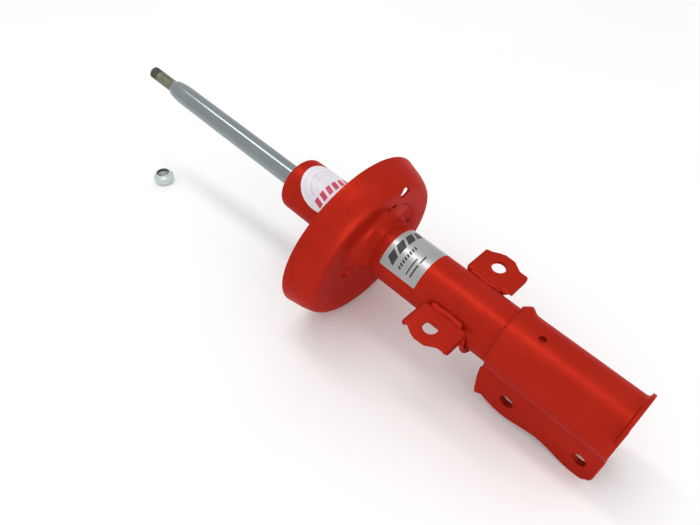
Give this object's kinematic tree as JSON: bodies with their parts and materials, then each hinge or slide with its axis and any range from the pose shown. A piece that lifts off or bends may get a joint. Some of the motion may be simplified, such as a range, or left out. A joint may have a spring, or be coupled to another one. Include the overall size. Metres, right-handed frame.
{
  "type": "suspension strut",
  "caption": "Twin-tube suspension strut with threaded top stud, spring seat, link bracket with two ears, two-hole knuckle bracket and a loose lock nut.",
  "frame": {"origin": "midway between the two knuckle bolt holes, on the plane of symmetry", "axes": "+X along the strut from the top stud to the knuckle end, +Y along the knuckle bolts, +Z away from the knuckle flanges, towards the side that the link ears face"},
  "size_m": [0.5655, 0.162, 0.1909],
  "materials": {
    "red_paint": "gloss red enamel over pressed steel, soft orange peel",
    "rod_chrome": "satin hard chrome with fine ground lines",
    "nut_zinc": "bright zinc plate",
    "nut_nylon": "dark nylon locking ring",
    "label_foil": "brushed metallised foil label",
    "label_film": "white printed film label",
    "sintered_iron": "oiled sintered iron, fine grain",
    "drawn_steel": "honed drawn tube",
    "spring_steel": "fine ground strip steel",
    "seal_rubber": "moulded nitrile rubber",
    "bumper_urethane": "moulded polyurethane",
    "ptfe_band": "bronze-filled slide band",
    "bush_bronze": "bronze-backed bush"
  },
  "bodies": {
    "strut_body": {"outer_tube": "red_paint", "base_cap": "red_paint", "seal_cap": "sintered_iron", "rod_seal": "seal_rubber", "rod_guide": "sintered_iron", "guide_bush": "bush_bronze", "pressure_tube": "drawn_steel", "spring_seat": "red_paint", "spring_seat_weld": "red_paint", "link_bracket": "red_paint", "link_bracket_welds": "red_paint", "knuckle_bracket": "red_paint", "knuckle_doublers": "red_paint", "knuckle_bracket_welds": "red_paint", "foil_label": "label_foil", "round_label": "label_film", "foot_valve_body": "sintered_iron", "foot_valve_pin": "spring_steel", "foot_valve_discs": "spring_steel", "foot_check_spring": "spring_steel"},
    "foot_check": {"foot_check_plate": "spring_steel"},
    "piston_ring": {"piston_band": "ptfe_band"},
    "rod": {"piston_rod": "rod_chrome", "rebound_bumper": "bumper_urethane", "rebound_stop": "spring_steel", "valve_washer": "spring_steel", "check_spring": "spring_steel", "piston": "sintered_iron", "rebound_discs": "spring_steel", "disc_spacer": "spring_steel", "piston_nut": "spring_steel"},
    "piston_check": {"check_plate": "spring_steel"},
    "lock_nut": {"top_nut": "nut_zinc", "nut_locking_ring": "nut_nylon"}
  },
  "joints": [
    {"name": "rod_stroke", "type": "slide", "parent": "strut_body", "child": "piston_ring", "axis": [1, 0, 0], "range_m": [0, 0.15], "stiffness_N_per_m": 250, "springref_m": -0.45},
    {"name": "rod_swivel", "type": "hinge", "parent": "piston_ring", "child": "rod", "pos_m": [-0.17, 0, 0.044], "axis": [1, 0, 0], "continuous": true},
    {"name": "piston_check_lift", "type": "slide", "parent": "rod", "child": "piston_check", "axis": [-1, 0, 0], "range_m": [0, 0.001], "stiffness_N_per_m": 400, "springref_m": -0.002},
    {"name": "foot_check_lift", "type": "slide", "parent": "strut_body", "child": "foot_check", "axis": [-1, 0, 0], "range_m": [0, 0.0011], "stiffness_N_per_m": 400, "springref_m": -0.002},
    {"name": "nut_lift", "type": "slide", "parent": "strut_body", "child": "lock_nut", "axis": [-0.1127, 0, 0.9936], "range_m": [0, 0.06]}
  ]
}
